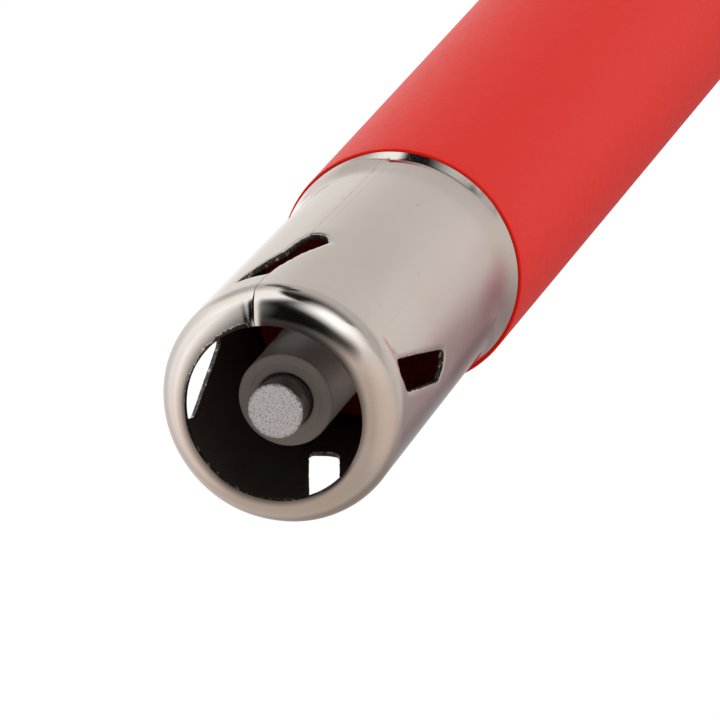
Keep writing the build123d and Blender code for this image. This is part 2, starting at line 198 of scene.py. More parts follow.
# ------------------------------------------------------------------ materials
def nickel_outside():
    m = Mat("nickel_satin")
    scuffed = m.attr("scuff")
    painted_reflection = m.attr("painted_reflection")
    x, y, z = m.split(m.where())
    t = m.math("SUBTRACT", NOSE_X, x)
    phi = m.math("MULTIPLY", m.math("ARCTAN2", y, z), 180.0 / math.pi)

    def line(t0, p0, t1, p1, half, fade=0.6):
        """A fine mark along the tube, from (t0, p0 degrees) to (t1, p1)."""
        middle = m.ramp(t, t0, t1, p0, p1, smooth=False)
        off = m.math("ABSOLUTE", m.math("SUBTRACT", phi, middle))
        on = m.math("MULTIPLY", m.ramp(t, t0 - fade * 0.2, t0 + fade), m.ramp(t, t1 - fade, t1 + fade * 0.2, 1.0, 0.0))
        return m.math("MULTIPLY", m.ramp(off, 0.0, half, 1.0, 0.0), on)

    broad = m.noise((0.05, 0.16, 0.16), detail=2)
    grain = m.noise((0.25, 9.0, 9.0), detail=4, rough=0.6)
    hair = m.noise((0.055, 2.4, 2.4), detail=2, rough=0.4, offset=(3.0, 1.0, 7.0), distort=0.15)
    hair_line = m.ramp(m.math("ABSOLUTE", m.math("SUBTRACT", hair, 0.5)), 0.0, 0.0022, 1.0, 0.0)
    speck_d = m.cells((0.62, 0.62, 0.62))
    speck = m.ramp(speck_d, 0.030, 0.062, 1.0, 0.0)
    keep = m.ramp(m.noise((0.3, 0.3, 0.3), offset=(11, 5, 2)), 0.58, 0.64)
    speck = m.math("MULTIPLY", speck, keep)
    fine_d = m.cells((2.3, 2.3, 2.3), offset=(5, 9, 1))
    fine = m.math("MULTIPLY", m.ramp(fine_d, 0.04, 0.085, 1.0, 0.0), m.ramp(m.noise((0.5, 0.5, 0.5)), 0.52, 0.66))
    fold = m.math("MAXIMUM", line(16.9, -5.6, 33.2, -4.7, 0.22), line(32.9, -4.7, 36.4, -1.9, 0.22))
    scratch = m.math("MAXIMUM", line(4.2, 52.2, 17.2, 49.6, 0.14, 2.0), line(14.4, 72.9, 28.4, 73.5, 0.14, 2.0))
    dashes = m.math("MULTIPLY", line(17.0, -10.3, 35.0, -8.4, 0.30), m.ramp(m.noise((1.1, 0.0, 0.0), detail=2, offset=(4, 0, 0)), 0.50, 0.56))
    chatter = m.ramp(m.math("SUBTRACT", scuffed, m.noise((2.2, 2.2, 2.2), detail=4, rough=0.66)), -0.12, 0.06)
    chatter = m.math("MULTIPLY", chatter, m.ramp(scuffed, 0.0, 0.25))
    tone = m.mix(m.ramp(broad, 0.35, 0.65), (0.583, 0.527, 0.468), (0.612, 0.556, 0.512))
    tone = m.mix(m.math("MULTIPLY", chatter, 0.92), tone, (0.060, 0.052, 0.044))
    # painted pink reflection and painted shade along creases, mixed into the nickel's colour
    tone = m.mix(m.math("MULTIPLY", painted_reflection, 0.9), tone, (0.40, 0.115, 0.115))
    tone = m.mix(m.math("MULTIPLY", speck, 0.65), tone, (0.16, 0.11, 0.09))
    tone = m.mix(m.math("MULTIPLY", fine, 0.22), tone, (0.24, 0.20, 0.18))
    tone = m.mix(m.math("MULTIPLY", hair_line, 0.05), tone, (0.36, 0.33, 0.31))
    tone = m.mix(m.math("MULTIPLY", fold, 0.34), tone, (0.26, 0.20, 0.18))
    tone = m.mix(m.math("MULTIPLY", scratch, 0.26), tone, (0.30, 0.25, 0.23))
    tone = m.mix(m.math("MULTIPLY", dashes, 0.7), tone, (0.10, 0.075, 0.07))
    rough = m.ramp(broad, 0.3, 0.7, 0.060, 0.085)
    rough = m.math("ADD", rough, m.math("MULTIPLY", chatter, 0.18))
    n = m.bump(grain, 0.0002)
    n = m.bump(hair_line, -0.0008, under=n)
    n = m.bump(speck, -0.015, under=n)
    n = m.bump(chatter, -0.02, under=n)
    n = m.bump(m.noise((0.30, 0.20, 0.20), detail=1), 0.010, under=n)
    m.set(color=tone, metal=1.0, rough=rough, normal=n)
    return m.mat


def steel_inside():
    m = Mat("steel_inside_dull")
    streak = m.noise((0.3, 3.0, 3.0), detail=4)
    tone = m.mix(streak, (0.085, 0.068, 0.056), (0.170, 0.142, 0.122))
    m.set(color=tone, metal=0.55, rough=m.ramp(streak, 0.3, 0.7, 0.42, 0.6), normal=m.bump(streak, 0.01))
    return m.mat


def steel_cut():
    m = Mat("steel_cut_edge")
    tear = m.noise((3.4, 3.4, 3.4), detail=6, rough=0.72)
    burr = m.ramp(m.noise((1.7, 1.7, 1.7), detail=5, rough=0.65, offset=(4, 2, 9)), 0.56, 0.64)
    tone = m.mix(m.ramp(tear, 0.40, 0.66), (0.024, 0.020, 0.017), (0.120, 0.102, 0.085))
    tone = m.mix(burr, tone, (0.60, 0.54, 0.47))
    m.set(color=tone, metal=0.85, rough=m.ramp(tear, 0.3, 0.7, 0.45, 0.28), normal=m.bump(tear, 0.05))
    return m.mat


def red_plastic():
    m = Mat("plastic_red")
    broad = m.noise((0.02, 0.08, 0.08), detail=2)
    skin = m.noise((1.4, 1.4, 1.4), detail=3)
    micro = m.noise((7.0, 7.0, 7.0), detail=3)
    scuff_mask = m.ramp(m.noise((0.11, 0.2, 0.2), offset=(2.0, 7.5, 3.1)), 0.63, 0.70)
    scuff = m.math("MULTIPLY", scuff_mask, m.ramp(m.noise((0.5, 4.0, 4.0), detail=4, rough=0.7), 0.5, 0.6))
    tone = m.mix(broad, (0.92, 0.014, 0.005), (0.96, 0.019, 0.007))
    tone = m.mix(m.math("MULTIPLY", scuff, 0.05), tone, (0.90, 0.35, 0.30))
    rough = m.ramp(skin, 0.3, 0.7, 0.36, 0.41)
    n = m.bump(micro, 0.0009)
    n = m.bump(broad, 0.02, under=n)
    m.set(color=tone, rough=rough, normal=n, ior=1.49, spec=0.095)
    return m.mat


def red_shaded():
    """The same plastic where it is hidden in the nose: rougher, and painted much darker as painted shade for the
    shadow inside.
    """
    m = Mat("plastic_red_painted_shade")
    shade_mottle = m.noise((0.5, 0.5, 0.5), detail=5)
    tone = m.mix(m.ramp(shade_mottle, 0.35, 0.65), (0.34, 0.010, 0.007), (0.52, 0.018, 0.012))
    m.set(color=tone, rough=m.ramp(shade_mottle, 0.3, 0.7, 0.5, 0.62), normal=m.bump(m.noise((3, 3, 3), detail=3), 0.01), spec=0.15)
    return m.mat


def grey_nylon():
    m = Mat("nylon_grey")
    x, y, z = m.split(m.where())
    radius = m.math("SQRT", m.math("ADD", m.math("MULTIPLY", y, y), m.math("MULTIPLY", z, z)))
    rings = m.ramp(m.math("ABSOLUTE", m.math("SUBTRACT", radius, 3.05)), 0.0, 0.09, 1.0, 0.0)
    cloud = m.noise((0.5, 0.5, 0.5), detail=4)
    speck = m.ramp(m.cells((1.9, 1.9, 1.9)), 0.05, 0.09, 1.0, 0.0)
    speck = m.math("MULTIPLY", speck, m.ramp(m.noise((0.7, 0.7, 0.7), offset=(1, 8, 4)), 0.52, 0.6))
    tone = m.mix(cloud, (0.385, 0.326, 0.290), (0.455, 0.392, 0.354))
    tone = m.mix(m.math("MULTIPLY", speck, 0.7), tone, (0.05, 0.04, 0.035))
    back = m.math("SUBTRACT", NOSE_X, x)
    # painted light and shade: the side is painted lighter and the front face darker
    side = m.ramp(back, 3.55, 3.85)
    tone = m.mix(side, m.mix(0.26, tone, (0.12, 0.085, 0.066)), m.mix(0.46, tone, (0.84, 0.72, 0.68)))
    # a painted highlight along the front edge
    rim = m.math("MULTIPLY", m.ramp(m.math("ABSOLUTE", m.math("SUBTRACT", back, 3.50)), 0.0, 0.12, 1.0, 0.0), m.ramp(radius, 3.5, 3.7))
    tone = m.mix(m.math("MULTIPLY", rim, 0.35), tone, (0.80, 0.72, 0.67))
    n = m.bump(m.noise((3, 3, 3), detail=4), 0.005)
    n = m.bump(rings, 0.03, under=n)
    m.set(color=tone, rough=m.ramp(cloud, 0.3, 0.7, 0.42, 0.52), normal=n, sss=0.2, ior=1.5, spec=0.35)
    m.bsdf.inputs["Subsurface Radius"].default_value = (0.6, 0.5, 0.45)
    m.bsdf.inputs["Subsurface Scale"].default_value = 0.0010
    return m.mat


def pin_steel():
    """Turned side, and a pitted, bead-like end face with a worn rim."""
    m = Mat("steel_pin")
    x, y, z = m.split(m.where())
    radius = m.math("SQRT", m.math("ADD", m.math("MULTIPLY", y, y), m.math("MULTIPLY", z, z)))
    face = m.ramp(x, NOSE_X - 0.5 - 0.30, NOSE_X - 0.5 - 0.12)
    pits = m.noise((6.0, 6.0, 6.0), detail=7, rough=0.80)
    pits2 = m.cells((5.6, 5.6, 5.6))
    dark = m.ramp(pits, 0.41, 0.48, 1.0, 0.0)
    hole = m.ramp(pits2, 0.12, 0.20, 1.0, 0.0)
    worn = m.ramp(radius, 2.02, 2.28)
    flat = m.mix(m.noise((1.6, 1.6, 1.6), detail=3), (0.86, 0.79, 0.775), (0.99, 0.92, 0.905))
    flat = m.mix(m.math("MULTIPLY", dark, 0.80), flat, (0.13, 0.11, 0.105))
    flat = m.mix(m.math("MULTIPLY", hole, 0.35), flat, (0.07, 0.06, 0.055))
    flat = m.mix(m.math("MULTIPLY", worn, m.ramp(pits, 0.42, 0.54, 0.75, 0.0)), flat, (0.10, 0.09, 0.08))
    turned = m.noise((7.0, 0.6, 0.6), detail=4)
    side = m.mix(m.ramp(turned, 0.38, 0.62), (0.10, 0.092, 0.085), (0.46, 0.43, 0.40))
    tone = m.mix(face, side, flat)
    rough = m.ramp(face, 0.0, 1.0, 0.34, 0.62)
    height = m.math("SUBTRACT", m.math("MULTIPLY", pits, 1.0), m.math("MULTIPLY", hole, 0.6))
    n = m.bump(m.math("MULTIPLY", height, face), 0.16)
    n = m.bump(turned, 0.01, under=n)
    m.set(color=tone, metal=m.ramp(face, 0.0, 1.0, 0.95, 0.10), rough=rough, normal=n)
    return m.mat


def black_plastic():
    m = Mat("plastic_black")
    grain = m.cells((3.4, 3.4, 3.4))
    broad = m.noise((0.2, 0.2, 0.2), detail=3)
    tone = m.mix(broad, (0.012, 0.012, 0.0125), (0.020, 0.020, 0.021))
    n = m.bump(m.ramp(grain, 0.0, 0.7), 0.014)
    m.set(color=tone, rough=m.ramp(broad, 0.3, 0.7, 0.36, 0.46), normal=n, ior=1.5, spec=0.28)
    return m.mat


def turned_steel(name="steel_turned", tone_a=(0.42, 0.41, 0.40), tone_b=(0.56, 0.55, 0.54), rough=(0.22, 0.34)):
    m = Mat(name)
    lines = m.noise((9.0, 0.5, 0.5), detail=4)
    stain = m.noise((0.35, 0.35, 0.35), detail=5)
    tone = m.mix(stain, tone_a, tone_b)
    m.set(color=tone, metal=1.0, rough=m.ramp(lines, 0.3, 0.7, *rough), normal=m.bump(lines, 0.006))
    return m.mat


def spring_wire():
    m = Mat("steel_spring")
    drawn = m.noise((2.0, 2.0, 2.0), detail=5)
    m.set(color=m.mix(drawn, (0.20, 0.20, 0.21), (0.38, 0.38, 0.40)), metal=1.0, rough=m.ramp(drawn, 0.3, 0.7, 0.25, 0.42), normal=m.bump(drawn, 0.008))
    return m.mat


def brass():
    m = Mat("brass_rolled")
    roll = m.noise((0.4, 5.0, 5.0), detail=4)
    stain = m.noise((0.5, 0.5, 0.5), detail=4)
    tone = m.mix(stain, (0.66, 0.46, 0.17), (0.80, 0.60, 0.27))
    m.set(color=tone, metal=1.0, rough=m.ramp(roll, 0.3, 0.7, 0.24, 0.38), normal=m.bump(roll, 0.006))
    return m.mat


def ceramic():
    m = Mat("ceramic_piezo")
    fine = m.noise((4.0, 4.0, 4.0), detail=5)
    m.set(color=m.mix(fine, (0.58, 0.50, 0.34), (0.70, 0.62, 0.46)), rough=m.ramp(fine, 0.3, 0.7, 0.5, 0.65), normal=m.bump(fine, 0.01))
    return m.mat


def pale_plastic(name, a, b):
    m = Mat(name)
    cloud = m.noise((0.6, 0.6, 0.6), detail=4)
    m.set(color=m.mix(cloud, a, b), rough=m.ramp(cloud, 0.3, 0.7, 0.38, 0.5), normal=m.bump(m.noise((3, 3, 3)), 0.006), sss=0.1)
    m.bsdf.inputs["Subsurface Radius"].default_value = (0.8, 0.7, 0.6)
    m.bsdf.inputs["Subsurface Scale"].default_value = 0.001
    return m.mat


MATS = {
    "nickel": nickel_outside(), "inside": steel_inside(), "cut": steel_cut(), "red": red_plastic(), "red_shaded": red_shaded(), "nylon": grey_nylon(),
    "pin": pin_steel(), "black": black_plastic(), "steel": turned_steel(), "spring": spring_wire(), "brass": brass(),
    "ceramic": ceramic(), "clear": pale_plastic("plastic_sleeve", (0.62, 0.58, 0.46), (0.72, 0.68, 0.56)),
    "white": pale_plastic("plastic_white", (0.70, 0.69, 0.65), (0.78, 0.77, 0.73)),
}


# ------------------------------------------------------------------ mesh helpers
def new_object(name, verts, faces, mats, face_mat=None, smooth=True, sharp=()):
    me = bpy.data.meshes.new(name)
    me.from_pydata([tuple(v) for v in verts], [], [tuple(int(i) for i in f) for f in faces])
    for mt in mats:
        me.materials.append(mt)
    if face_mat is not None:
        me.polygons.foreach_set("material_index", np.asarray(face_mat, dtype=np.int32))
    me.polygons.foreach_set("use_smooth", [smooth] * len(me.polygons))
    me.update()
    me.validate()
    obj = bpy.data.objects.new(name, me)
    bpy.context.scene.collection.objects.link(obj)
    return obj


def set_attr(obj, name, values):
    a = obj.data.attributes.new(name, "FLOAT", "POINT")
    a.data.foreach_set("value", np.asarray(values, dtype=np.float32))


def sharpen(obj, degrees):
    """Edges that turn more than this stay crisp."""
    obj.data.set_sharp_from_angle(angle=math.radians(degrees))


def arc(cx, cy, r, a0, a1, n):
    """Points on an arc in the (t, radius) plane, degrees from the -t direction towards larger radius."""
    return [(cx - r * math.cos(math.radians(a)), cy + r * math.sin(math.radians(a))) for a in np.linspace(a0, a1, n)]


def lathe(name, ring, mats, seg=192, mat_of=None, shape=None, sharp=30, closed=True):
    """Turns a closed loop of (t, r) points about the X axis. Points at r 0 become one vertex."""
    verts, index = [], []
    ang = [2 * math.pi * j / seg for j in range(seg)]
    for k, (t, r) in enumerate(ring):
        if r < 1e-6:
            index.append([len(verts)] * seg)
            verts.append(((NOSE_X - t) * MM, 0, 0))
        else:
            row = []
            for j, a in enumerate(ang):
                tt, rr = (t, r) if shape is None else shape(t, r, a)
                row.append(len(verts))
                verts.append(((NOSE_X - tt) * MM, rr * math.sin(a) * MM, rr * math.cos(a) * MM))
            index.append(row)
    faces, fm = [], []
    n = len(ring)
    for k in range(n if closed else n - 1):
        a, b = index[k], index[(k + 1) % n]
        if a[0] == a[-1] and b[0] == b[-1]:
            continue
        for j in range(seg):
            jj = (j + 1) % seg
            f = [a[j], b[j], b[jj], a[jj]]
            f = [q for i, q in enumerate(f) if q != f[i - 1]]
            if len(set(f)) < 3:
                continue
            faces.append(f)
            fm.append(0 if mat_of is None else mat_of(k))
    obj = new_object(name, verts, faces, mats, fm)
    fix_normals(obj)
    sharpen(obj, sharp)
    return obj


def fix_normals(obj):
    import bmesh
    bm = bmesh.new()
    bm.from_mesh(obj.data)
    bmesh.ops.recalc_face_normals(bm, faces=bm.faces)
    bm.to_mesh(obj.data)
    bm.free()


def apply_modifiers(obj):
    dg = bpy.context.evaluated_depsgraph_get()
    dg.update()
    me = bpy.data.meshes.new_from_object(obj.evaluated_get(dg))
    obj.modifiers.clear()
    obj.data = me


# ------------------------------------------------------------------ nose tube
SHEET = 0.45
LIP_R, LIP_C = 3.05, (3.05, 7.1)
LIP_A0 = 7.5


def swell_of(t):
    k = np.clip((t - 32.4) / 5.06, 0, 1)
    return 0.155 * k ** 2.2


def flare_of(t):
    """The rolled rear edge, turned out towards the barrel."""
    u = np.asarray(t) - 36.68
    return 0.53 * 0.5 * (np.sqrt(u * u + 0.0016) + u)


def nose_profile():
    """Outer line of the nose, from the mouth's edge to the rear end: arrays s, t, r."""
    pts = []
    for a in np.linspace(LIP_A0, 90, 34):
        pts.append((LIP_C[0] - LIP_R * math.cos(math.radians(a)), LIP_C[1] + LIP_R * math.sin(math.radians(a))))
    for t in np.arange(3.3, 33.0, 0.45):
        pts.append((t, 10.15 - 0.428 * (t - 3.05) / 30.0 + swell_of(t)))
    # a slight swell, then the rear edge flares out against the barrel
    for t in np.arange(33.1, 37.44, 0.05):
        pts.append((t, 9.7215 - 0.0143 * (t - 33.1) * max(0.0, 1 - (t - 33.1) / 1.5) + swell_of(t) + flare_of(t)))
    pts.append((37.46, 9.722 + swell_of(37.46) + flare_of(37.46)))
    p = np.array(pts)
    s = np.concatenate([[0], np.cumsum(np.hypot(*np.diff(p, axis=0).T))])
    return s, p[:, 0], p[:, 1]


PS, PT, PR = nose_profile()
# surface directions along the profile
_dt, _dr = np.gradient(PT, PS), np.gradient(PR, PS)
_len = np.hypot(_dt, _dr)
PNT, PNR = -_dr / _len, _dt / _len      # outward normal in the (t, r) plane
R0 = 9.9


def seam_deg(t):
    return np.interp(t, [0.0, 2.0, 5.5, 16.5, 34.0, 37.5], [-12.3, -12.2, -11.7, -9.7, -8.7, -8.5])


def s_of_t(t):
    """Place along the profile of a point behind the lip."""
    return np.interp(t, PT[33:], PS[33:])


# slot outlines as (t, degrees from the top towards +Y), going round
SLOTS = {
    "top": [(5.9, -29.6), (5.85, -21.0), (5.9, -12.6), (7.8, -10.7), (11.1, -5.2), (14.5, 3.2), (16.0, -1.0), (16.45, -6.0), (16.35, -9.5), (15.2, -12.3), (12.1, -15.6), (9.0, -24.2), (7.0, -28.6)],
    "right": [(4.35, 65.6), (9.5, 73.1), (15.1, 82.0), (15.95, 84.6), (15.9, 88.4), (15.5, 92.2), (14.2, 96.8), (9.2, 89.6), (4.8, 83.2), (4.3, 79.2), (3.95, 72.0)],
    "bottom": [(5.2, 155.6), (5.1, 163.5), (5.25, 171.2), (7.2, 175.0), (12.0, 183.7), (15.9, 190.6), (16.9, 189.8), (17.5, 183.0), (17.4, 178.5), (16.8, 175.5), (11.8, 166.6)],
    "left": [(5.7, 249.0), (7.2, 247.3), (9.4, 250.8), (11.6, 254.8), (14.45, 260.3), (16.6, 265.6), (16.9, 272.0), (16.3, 279.0), (11.0, 271.5), (5.6, 263.0), (5.5, 256.0)],
}
SLOT_LOOPS = []


def round_loop(pts, radius=0.28, step=0.22):
    """A closed outline with its corners rounded a little, resampled to short steps."""
    pts = np.array(pts, float)
    n = len(pts)
    out = []
    for i in range(n):
        a, b, c = pts[i - 1], pts[i], pts[(i + 1) % n]
        la, lc = np.linalg.norm(a - b), np.linalg.norm(c - b)
        k = min(radius, la * 0.4, lc * 0.4)
        p0, p1 = b + (a - b) / la * k, b + (c - b) / lc * k
        for w in (0.0, 0.25, 0.5, 0.75, 1.0):
            out.append((1 - w) ** 2 * p0 + 2 * w * (1 - w) * b + w * w * p1)
    out = np.array(out)
    closed = np.vstack([out, out[:1]])
    d = np.concatenate([[0], np.cumsum(np.hypot(*np.diff(closed, axis=0).T))])
    m = int(round(d[-1] / step))
    q = np.linspace(0, d[-1], m, endpoint=False)
    return np.column_stack([np.interp(q, d, closed[:, 0]), np.interp(q, d, closed[:, 1])])


def loop_normals(loop):
    """Unit normals that point to the left of the loop's direction."""
    t = np.roll(loop, -1, axis=0) - np.roll(loop, 1, axis=0)
    t /= np.linalg.norm(t, axis=1, keepdims=True)
    return np.column_stack([-t[:, 1], t[:, 0]])


def inside(points, loop):
    x, y = points[:, 0], points[:, 1]
    hit = np.zeros(len(points), bool)
    a, b = loop, np.roll(loop, -1, axis=0)
    for (x0, y0), (x1, y1) in zip(a, b):
        cross = (y0 > y) != (y1 > y)
        if y1 != y0:
            hit ^= cross & (x < (x1 - x0) * (y - y0) / (y1 - y0) + x0)
    return hit


def distance(points, loops):
    """Distance from each point to the nearest loop edge."""
    best = np.full(len(points), 1e9)
    for loop in loops:
        a, b = loop, np.roll(loop, -1, axis=0)
        for p, q in zip(a, b):
            pq = q - p
            w = np.clip(((points - p) @ pq) / max(pq @ pq, 1e-12), 0, 1)
            best = np.minimum(best, np.hypot(*(points - (p + w[:, None] * pq)).T))
    return best


WIDTH = 2 * math.pi * R0


def seam_gap(s):
    """Half the gap between the sheet's two edges: a notch in the lip, a fine line behind it, nearly shut to the rear."""
    s = np.asarray(s, float)
    shut = np.clip((s - 6.0) / 4.0, 0, 1)
    return 0.020 * (1 - shut) + 0.0055 * shut + 0.075 * np.exp(-((s - 1.7) / 1.15) ** 2)


# painted pink reflection and painted shade along creases, as (t, degrees) from and to, half width, strength
PAINTED_REFLECTION_CREASES = [
    (3.78, 55.0, 3.80, 68.3, 0.20, 0.95), (3.80, 68.3, 4.05, 81.0, 0.17, 0.80), (3.95, 58.5, 4.75, 65.5, 0.15, 0.70),
    (4.75, 65.5, 8.6, 71.2, 0.12, 0.45),
    (33.0, 101.5, 30.6, 108.0, 0.26, 1.0), (30.6, 108.0, 29.1, 119.0, 0.34, 1.0),
    (33.6, 83.0, 28.5, 94.0, 2.4, 0.78), (29.5, 99.0, 21.0, 107.0, 2.7, 0.82), (20.0, 90.0, 9.0, 97.0, 2.6, 0.15), (33.0, 68.0, 16.0, 72.0, 4.4, 0.15),
    (33.7, -74.0, 33.5, -52.0, 0.22, 0.20), (33.5, -52.0, 33.0, -30.0, 0.20, 0.14),
]


def Y_angle(P):
    return np.radians(seam_deg(np.interp(P[:, 0], PS, PT))) + P[:, 1] / R0


def build_nose():
    loops = []
    for name, outline in SLOTS.items():
        loop = []
        for t, deg in outline:
            s = float(s_of_t(t))
            y = math.radians(deg - float(seam_deg(t))) * R0
            loop.append((s, y))
        loop = round_loop(loop)
        if np.sum(loop[:, 0] * np.roll(loop[:, 1], -1) - np.roll(loop[:, 0], -1) * loop[:, 1]) < 0:
            loop = loop[::-1]
        # torn by the punch: small uneven steps in the outline
        n_ = loop_normals(loop)
        k = np.arange(len(loop))
        jag = 0.012 * np.sin(k * 1.1 + len(name)) + 0.009 * RNG.normal(size=len(loop))
        loop = loop + n_ * jag[:, None]
        loops.append(loop)
    SLOT_LOOPS.extend(loops)
    s_end = PS[-1]

    # the outline of the flat sheet, with the slots that cross the seam on both sides
    wrapped = []
    for loop in loops:
        for shift in (-WIDTH, 0.0, WIDTH):
            moved = loop + [0.0, shift]
            if moved[:, 1].max() > 0 and moved[:, 1].min() < WIDTH:
                wrapped.append(moved)
    rows = sorted(set(np.round(np.concatenate([
        np.linspace(0, 0.3, 3), np.arange(0.3, PS[33] + 0.4, 0.15), np.arange(PS[33] + 0.4, s_of_t(33.1), 0.45),
        np.arange(s_of_t(33.1), s_of_t(36.6), 0.15), np.arange(s_of_t(36.6), s_end, 0.06), [s_end]]), 4)))
    rows = np.array([q for i, q in enumerate(rows) if i == 0 or q - rows[i - 1] > 0.03])
    rows[-1] = s_end
    cols = np.linspace(0, WIDTH, 241)

    left = np.column_stack([rows, seam_gap(rows)])
    right = np.column_stack([rows, WIDTH - seam_gap(rows)])
    points = [tuple(p) for p in left] + [tuple(p) for p in right]
    edges = [(i, i + 1) for i in range(len(rows) - 1)] + [(len(rows) + i, len(rows) + i + 1) for i in range(len(rows) - 1)]
    for row in (rows[0], rows[-1]):
        base = len(points)
        ys = cols[1:-1]
        points += [(float(row), float(y)) for y in ys]
        edges += [(base + i, base + i + 1) for i in range(len(ys) - 1)]
        edges += [(0 if row == rows[0] else len(rows) - 1, base), (base + len(ys) - 1, len(rows) if row == rows[0] else 2 * len(rows) - 1)]
    for loop in wrapped:
        base = len(points)
        points += [tuple(p) for p in loop]
        edges += [(base + i, base + (i + 1) % len(loop)) for i in range(len(loop))]
    for off in (0.10, 0.24, 0.42):
        for loop in wrapped:
            ring = loop - loop_normals(loop) * off      # away from the hole
            ok = (distance(ring, wrapped) > off * 0.93) & (ring[:, 1] > 0.1) & (ring[:, 1] < WIDTH - 0.1) & (ring[:, 0] > 0.05) & ~np.any([inside(ring, w) for w in wrapped], axis=0)
            points += [tuple(p) for p in ring[ok]]
    grid = np.array([(s, y) for i, s in enumerate(rows[1:-1]) for y in (cols[1:-1] + (0.5 * (cols[1] - cols[0]) if i % 2 else 0.0)) if 0.12 < y < WIDTH - 0.12])
    near = distance(grid, wrapped)
    hole = np.any([inside(grid, w) for w in wrapped], axis=0)
    grid = grid[(near > 0.5) & ~hole]
    points += [tuple(p) for p in grid]

    out = delaunay_2d_cdt([Vector(p) for p in points], edges, [], 0, 1e-5)
    P = np.array([tuple(p) for p in out[0]])
    tri = np.array(out[2])
    c = P[tri].mean(axis=1)
    drop = np.any([inside(c, w) for w in wrapped], axis=0)
    half = seam_gap(c[:, 0])
    drop |= (c[:, 1] < half) | (c[:, 1] > WIDTH - half) | (c[:, 0] < 0) | (c[:, 0] > s_end)
    tri = tri[~drop]
    a, b, d = P[tri[:, 0]], P[tri[:, 1]], P[tri[:, 2]]
    area = (b[:, 0] - a[:, 0]) * (d[:, 1] - a[:, 1]) - (b[:, 1] - a[:, 1]) * (d[:, 0] - a[:, 0])
    tri[area < 0] = tri[area < 0][:, ::-1]
    tri = tri[np.abs(area) > 1e-9]
    used = np.unique(tri)
    remap = -np.ones(len(P), int)
    remap[used] = np.arange(len(used))
    P, tri = P[used], remap[tri]

    # boundary edges, each with the sheet on its left
    count = {}
    for f in tri:
        for i in range(3):
            e = (f[i], f[(i + 1) % 3])
            count[e] = count.get(e, 0) + 1
    border = [e for e in count if (e[1], e[0]) not in count]
    nxt = {}
    for p, q in border:
        nxt.setdefault(p, []).append(q)
    prv = {q: p for p, q in border}

    near_slot = distance(P, wrapped)

    def place(S, Y, depth, near):
        t = np.interp(S, PS, PT)
        r = np.interp(S, PS, PR)
        nt, nr = np.interp(S, PS, PNT), np.interp(S, PS, PNR)
        phi = np.radians(seam_deg(t)) + Y / R0
        # the punch draws the sheet in a little round each slot
        draw = 0.075 * np.exp(-(near / 0.20) ** 2) + 0.012 * np.exp(-(near / 0.8) ** 2)
        # the lip's two ends are pinched where they meet
        from_seam = np.minimum(Y, WIDTH - Y)
        lip = np.clip(1 - S / 4.6, 0, 1)
        pinch = 0.15 * lip * np.where(Y < WIDTH / 2, np.exp(-(from_seam / 0.36) ** 2), 0.9 * np.exp(-(from_seam / 0.24) ** 2) + 0.40 * np.exp(-((from_seam - 0.55 - 0.10 * S) / 0.13) ** 2))
        phi = phi + np.radians(0.16 * np.sin(2.1 * t + 0.4) + 0.10 * np.sin(5.3 * t)) * np.exp(-(from_seam / 1.2) ** 2)
        wave = 0.014 * np.sin(3 * phi + 0.6) + 0.010 * np.sin(5 * phi + 2.0 + 0.08 * t) + 0.006 * np.sin(9 * phi + 0.21 * t)
        wave = wave * np.clip((36.5 - t) / 6.0, 0, 1)
        # on the -Y side the swell and the rolled edge run into one step
        k = np.clip((t - 33.3) / 4.1, 0, 1)
        step = 0.57 * k * k * (3 - 2 * k) - swell_of(t) - flare_of(t)
        # and on the +Y side they are one long soft swell
        k = np.clip((t - 30.5) / 6.96, 0, 1)
        soft = 0.56 * k ** 2.4 - swell_of(t) - flare_of(t)
        side = np.degrees(np.arctan2(np.sin(phi), np.cos(phi)))
        lift = step * np.interp(side, [-180, -150, -110, -28, -4, 180], [0.0, 0.0, 1.0, 1.0, 0.0, 0.0])
        lift = lift + soft * np.interp(side, [-180, -150, -110, 36, 58, 180], [1.0, 1.0, 0.0, 0.0, 1.0, 1.0])
        d = depth + draw + pinch - wave
        t = np.maximum(t - nt * d, NOSE_X - 1000.0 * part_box("nose_tube")[1][0])
        r = r - nr * d + lift
        return np.column_stack([(NOSE_X - t) * MM, r * np.sin(phi) * MM, r * np.cos(phi) * MM])

    n = len(P)
    top = place(P[:, 0], P[:, 1], np.zeros(n), near_slot)
    low = place(P[:, 0], P[:, 1], np.full(n, SHEET), near_slot)
    verts = [top, low]
    faces = [tuple(f) for f in tri] + [tuple(n + i for i in f[::-1]) for f in tri]
    mat = [0] * len(tri) + [1] * len(tri)
